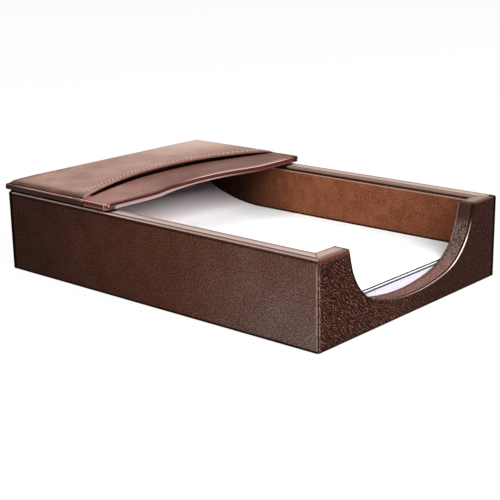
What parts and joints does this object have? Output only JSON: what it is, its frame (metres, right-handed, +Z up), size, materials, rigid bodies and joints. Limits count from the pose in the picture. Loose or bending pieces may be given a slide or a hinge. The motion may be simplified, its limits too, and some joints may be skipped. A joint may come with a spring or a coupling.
{
  "type": "memo pad holder",
  "caption": "Leather covered open tray for note sheets, with a scooped front wall and a padded stitched cover over the rear of its well.",
  "frame": {"origin": "middle of the tray's footprint on the surface it rests on", "axes": "+X to the right seen from the front, +Y to the rear under the cover, +Z up; the scooped front faces -Y"},
  "size_m": [0.1226, 0.1722, 0.0421],
  "materials": {
    "smooth_leather": "dark brown glazed cowhide, fine grain",
    "pebbled_leather": "dark brown leather with a pebbled grain",
    "cover_leather": "brown glazed leather over padding, soft sheen",
    "suede": "russet split leather, napped",
    "thread": "brown waxed polyester thread",
    "wadding": "soft white wadding",
    "felt": "dark brown felt",
    "board": "medium density fibreboard",
    "note_paper": "plain white uncoated paper"
  },
  "bodies": {
    "holder": {"base_felt": "felt", "base_board": "board", "floor_lining": "suede", "left_wall_board": "board", "right_wall_board": "board", "rear_wall_board": "board", "front_wall_board": "board", "left_wall_leather": "smooth_leather", "right_wall_leather": "smooth_leather", "rear_wall_leather": "smooth_leather", "front_wall_leather": "pebbled_leather", "scoop_edge_band": "pebbled_leather", "left_wall_lining": "suede", "right_wall_lining": "suede", "rear_wall_lining": "suede", "front_wall_lining": "suede", "cover_seat": "smooth_leather", "cover_board": "board", "cover_lower_leather": "cover_leather", "cover_pad": "wadding", "cover_top_leather": "cover_leather", "cover_stitching": "thread"},
    "notes": {"lower_note_stack": "note_paper", "upper_note_sheets": "note_paper", "top_note_sheet": "note_paper"}
  },
  "joints": [
    {"name": "notes_lift", "type": "slide", "parent": "holder", "child": "notes", "axis": [0, 0, 1], "range_m": [0, 0.0125]}
  ]
}
